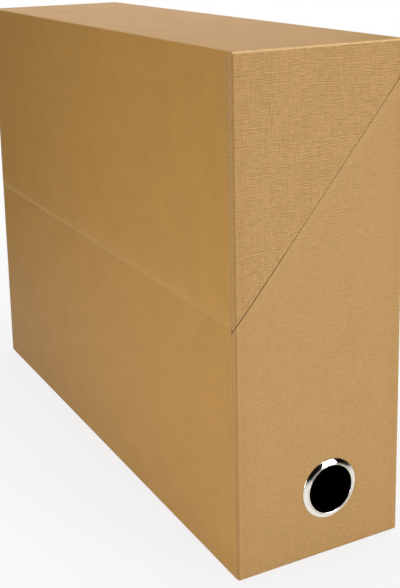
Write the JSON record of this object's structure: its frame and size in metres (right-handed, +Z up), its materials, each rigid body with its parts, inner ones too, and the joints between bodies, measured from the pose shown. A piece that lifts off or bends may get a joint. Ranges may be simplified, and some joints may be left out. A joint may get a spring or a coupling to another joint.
{
  "type": "transfer file box",
  "caption": "Rigid kraft-covered box for filed papers, with a lid cut obliquely across both ends that folds back on one side, and a chromed finger ring low on the narrow face.",
  "frame": {"origin": "centre of the underside, on the surface that the box stands on", "axes": "+Z up; +X across the width, from the hinge side to the opening side; +Y along the box, from the spine with the finger ring to the rear"},
  "size_m": [0.095, 0.3413, 0.255],
  "materials": {
    "greyboard": "matt, fibrous",
    "kraft_smooth": "matt, faintly mottled",
    "kraft_linen": "matt, linen embossed",
    "dark_lining": "matt",
    "chrome": "polished"
  },
  "bodies": {
    "base": {"base_floor_board": "greyboard", "base_hinge_side_board": "greyboard", "base_opening_side_board": "greyboard", "base_spine_board": "greyboard", "base_rear_board": "greyboard", "base_floor_sheet": "kraft_smooth", "base_hinge_side_sheet": "kraft_smooth", "base_opening_side_sheet": "kraft_smooth", "base_spine_linen": "kraft_linen", "base_rear_linen": "kraft_linen", "base_lining": "dark_lining", "base_spine_lining": "dark_lining", "base_rear_lining": "dark_lining", "base_hinge_strip": "dark_lining", "finger_ring": "chrome", "finger_ring_washer": "chrome"},
    "lid": {"lid_top_board": "greyboard", "lid_hinge_side_board": "greyboard", "lid_rim_board": "greyboard", "lid_spine_board": "greyboard", "lid_rear_board": "greyboard", "lid_wrap_sheet": "kraft_smooth", "lid_spine_linen": "kraft_linen", "lid_rear_linen": "kraft_linen", "lid_lining": "dark_lining", "lid_spine_lining": "dark_lining", "lid_rear_lining": "dark_lining", "lid_hinge_strip": "dark_lining"}
  },
  "joints": [
    {"name": "lid_hinge", "type": "hinge", "parent": "base", "child": "lid", "pos_m": [-0.0475, 0, 0.128], "axis": [0, -1, 0], "range_deg": [0, 170]}
  ]
}
